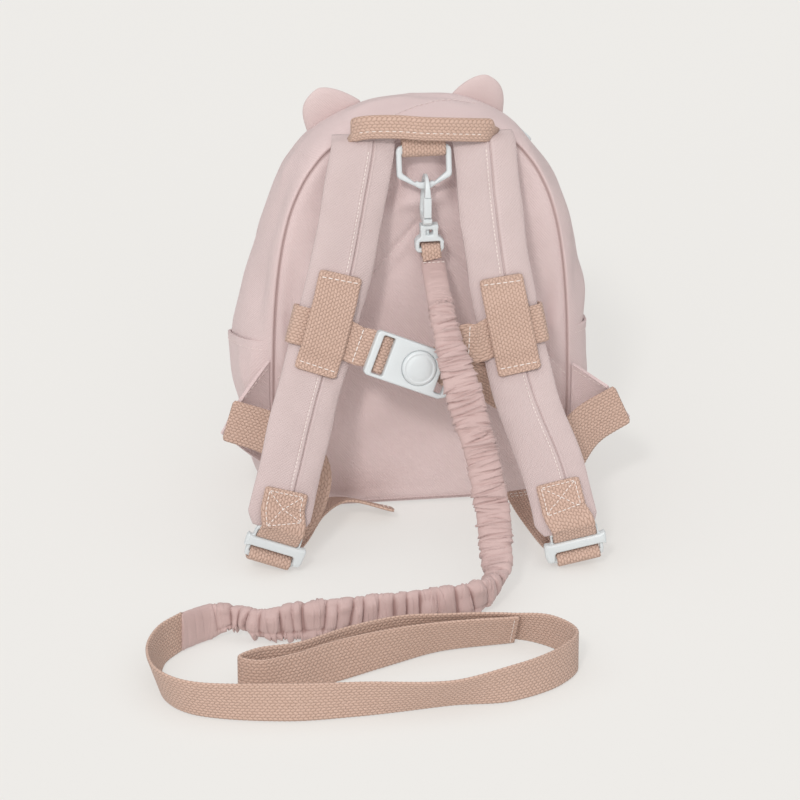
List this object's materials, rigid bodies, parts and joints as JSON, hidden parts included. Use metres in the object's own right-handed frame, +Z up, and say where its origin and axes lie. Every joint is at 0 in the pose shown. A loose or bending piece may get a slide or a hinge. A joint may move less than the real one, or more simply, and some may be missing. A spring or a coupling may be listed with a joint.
{
  "type": "kids backpack",
  "caption": "Small soft kids backpack with padded shoulder straps, side pockets, ears, a chest buckle and a detachable safety rein with a hand loop.",
  "frame": {"origin": "middle of the flat base, on the surface the bag stands on", "axes": "+Z up, +X to the right as seen from behind the straps, -Y towards the straps and the rein"},
  "size_m": [0.3018, 0.3818, 0.2436],
  "materials": {
    "pink_twill": "soft cotton twill",
    "zip_tape": "woven tape",
    "tan_webbing": "coarse cotton webbing",
    "white_plastic": "moulded, slightly satin",
    "sleeve_cotton": "gathered cotton"
  },
  "bodies": {
    "bag": {"side_gusset_left": "pink_twill", "side_gusset_right": "pink_twill", "crown_back": "pink_twill", "crown_front": "pink_twill", "base_panel": "pink_twill", "back_panel": "pink_twill", "front_panel": "pink_twill", "pocket_left": "pink_twill", "pocket_right": "pink_twill", "ear_left": "pink_twill", "ear_right": "pink_twill", "shoulder_strap_left": "pink_twill", "shoulder_strap_right": "pink_twill", "wing_left": "pink_twill", "wing_right": "pink_twill", "zip_tape_back": "zip_tape", "zip_tape_front": "zip_tape", "chest_patch_left": "tan_webbing", "chest_patch_right": "tan_webbing", "chest_webbing_left": "tan_webbing", "chest_webbing_right": "tan_webbing", "strap_end_left": "tan_webbing", "strap_end_right": "tan_webbing", "adjuster_left": "tan_webbing", "adjuster_right": "tan_webbing", "chest_tail": "tan_webbing", "carry_handle": "tan_webbing", "ring_tab": "tan_webbing", "hook_loop": "tan_webbing", "rein_webbing": "tan_webbing", "zip_slider": "white_plastic", "strap_slider_left": "white_plastic", "strap_slider_right": "white_plastic", "chest_buckle": "white_plastic", "ring": "white_plastic", "hook_body": "white_plastic", "hook_eye": "white_plastic", "rein_sleeve": "sleeve_cotton"},
    "gate": {"hook_gate": "white_plastic"},
    "button": {"chest_button": "white_plastic"}
  },
  "joints": [
    {"name": "gate_hinge", "type": "hinge", "parent": "bag", "child": "gate", "pos_m": [0.0007, -0.0651, 0.1855], "axis": [-1, 0, 0], "range_deg": [0, 18], "stiffness_Nm_per_rad": 0.02},
    {"name": "button_press", "type": "slide", "parent": "bag", "child": "button", "axis": [-0.0486, 0.9796, -0.1951], "range_m": [0, 0.0015], "stiffness_N_per_m": 600}
  ]
}
